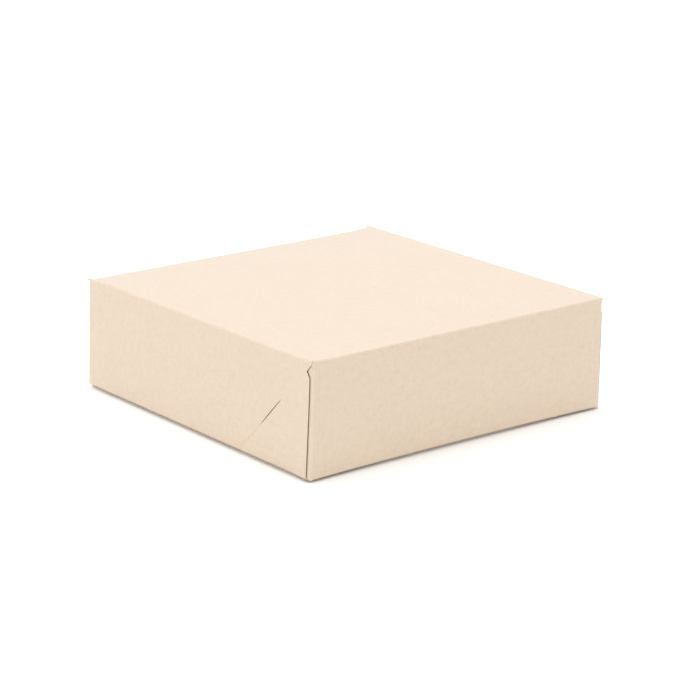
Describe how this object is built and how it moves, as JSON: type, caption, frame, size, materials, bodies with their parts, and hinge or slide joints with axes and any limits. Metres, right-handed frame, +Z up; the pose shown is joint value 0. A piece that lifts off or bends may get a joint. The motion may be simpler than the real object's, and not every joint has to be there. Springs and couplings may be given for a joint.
{
  "type": "pastry box",
  "caption": "Low square bakery box of folded kraft board: a glued base tray and a full-depth lid that folds back on a crease along the rear edge.",
  "frame": {"origin": "middle of the underside, on the surface that the closed box stands on", "axes": "+Z up out of the lid's top; -Y towards the front wall that lifts, +Y towards the hinge crease; +X to the right seen from the front"},
  "size_m": [0.2032, 0.2032, 0.0635],
  "materials": {
    "lid_board": "uncoated kraft board, matt, with fine fibres",
    "base_board": "uncoated kraft board, matt, with fine fibres",
    "glue": "dried paper glue, slightly glossy"
  },
  "bodies": {
    "base": {"base_bottom_panel": "base_board", "base_front_wall": "base_board", "base_back_wall": "base_board", "base_left_wall": "base_board", "base_right_wall": "base_board", "base_gusset_front_left": "base_board", "base_gusset_front_right": "base_board", "base_gusset_back_left": "base_board", "base_gusset_back_right": "base_board", "base_glue_tab_front_left": "base_board", "base_glue_tab_front_right": "base_board", "base_glue_tab_back_left": "base_board", "base_glue_tab_back_right": "base_board", "base_glue_line_front_left": "glue", "base_glue_line_front_right": "glue", "base_glue_line_back_left": "glue", "base_glue_line_back_right": "glue"},
    "lid": {"lid_top_panel": "lid_board", "lid_front_wall": "lid_board", "lid_left_wall": "lid_board", "lid_right_wall": "lid_board", "lid_gusset_front_left": "lid_board", "lid_gusset_front_right": "lid_board", "lid_glue_tab_front_left": "lid_board", "lid_glue_tab_front_right": "lid_board", "lid_glue_line_front_left": "glue", "lid_glue_line_front_right": "glue"}
  },
  "joints": [
    {"name": "lid_hinge", "type": "hinge", "parent": "base", "child": "lid", "pos_m": [0, 0.1011, 0.063], "axis": [-1, 0, 0], "range_deg": [0, 195]}
  ]
}
